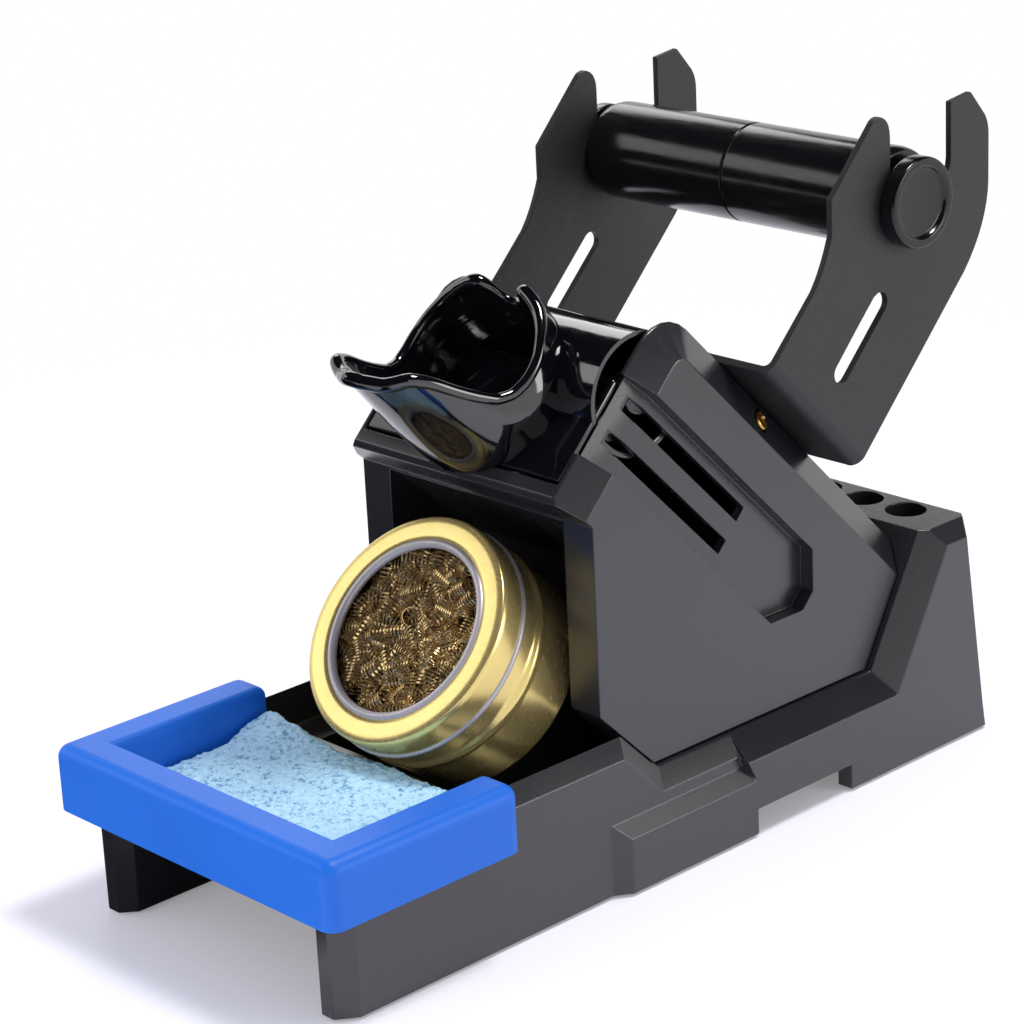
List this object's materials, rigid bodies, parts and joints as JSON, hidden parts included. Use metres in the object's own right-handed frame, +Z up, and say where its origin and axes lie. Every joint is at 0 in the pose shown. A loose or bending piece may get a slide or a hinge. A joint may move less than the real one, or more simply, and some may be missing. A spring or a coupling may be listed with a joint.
{
  "type": "soldering iron station",
  "caption": "Bench stand for a soldering iron: sponge tray with silicone rim, tilted wool tin, vented housing with a tilting funnel, tip block and a solder reel roller.",
  "frame": {"origin": "under the middle of the station, on the surface it stands on", "axes": "+Z up; X across the station; -Y towards the sponge tray, +Y towards the tip block"},
  "size_m": [0.093, 0.1958, 0.1454],
  "materials": {
    "black_abs": "satin",
    "rubber": "matte",
    "blue_silicone": "satin",
    "cellulose": "matte",
    "gold_tin": "gloss",
    "brass_curls": "satin",
    "zinc": "satin",
    "brass": "satin",
    "bakelite": "gloss",
    "powder_coat": "matte",
    "gloss_tube": "gloss"
  },
  "bodies": {
    "station": {"base_frame": "black_abs", "foot_front_left": "rubber", "foot_front_right": "rubber", "foot_rear_left": "rubber", "foot_rear_right": "rubber", "sponge": "cellulose", "housing_left": "black_abs", "housing_right": "black_abs", "base_screw_front_left": "zinc", "base_screw_rear_left": "zinc", "base_screw_front_right": "zinc", "base_screw_rear_right": "zinc", "bracket_screw_front_left": "brass", "bracket_screw_rear_left": "brass", "bracket_screw_front_right": "brass", "bracket_screw_rear_right": "brass", "side_screw_left": "brass", "side_screw_right": "brass", "reel_bracket": "powder_coat"},
    "holder": {"iron_holder": "bakelite"},
    "reel": {"reel_axle": "zinc", "end_cap_left": "gloss_tube", "end_cap_right": "gloss_tube"},
    "reel_sleeve": {"reel_tube_left": "gloss_tube", "reel_tube_right": "gloss_tube"},
    "tin": {"tin_body": "gold_tin", "brass_wool": "brass_curls"},
    "lid": {"tin_lid": "gold_tin"},
    "rim": {"silicone_rim": "blue_silicone"}
  },
  "joints": [
    {"name": "holder_tilt", "type": "hinge", "parent": "station", "child": "holder", "pos_m": [0, -0.00073, 0.09866], "axis": [-1, 0, 0], "range_deg": [0, 20]},
    {"name": "reel_lift", "type": "slide", "parent": "station", "child": "reel", "axis": [0, 0, 1], "range_m": [0, 0.035]},
    {"name": "reel_spin", "type": "hinge", "parent": "reel", "child": "reel_sleeve", "pos_m": [0, 0.06495, 0.1265], "axis": [1, 0, 0], "continuous": true},
    {"name": "tin_lift", "type": "slide", "parent": "station", "child": "tin", "axis": [0, -0.766, 0.6428], "range_m": [0, 0.06]},
    {"name": "lid_lift", "type": "slide", "parent": "tin", "child": "lid", "axis": [0, -0.766, 0.6428], "range_m": [0, 0.014]},
    {"name": "rim_pull", "type": "slide", "parent": "station", "child": "rim", "axis": [0, 0, 1], "range_m": [0, 0.014]}
  ]
}
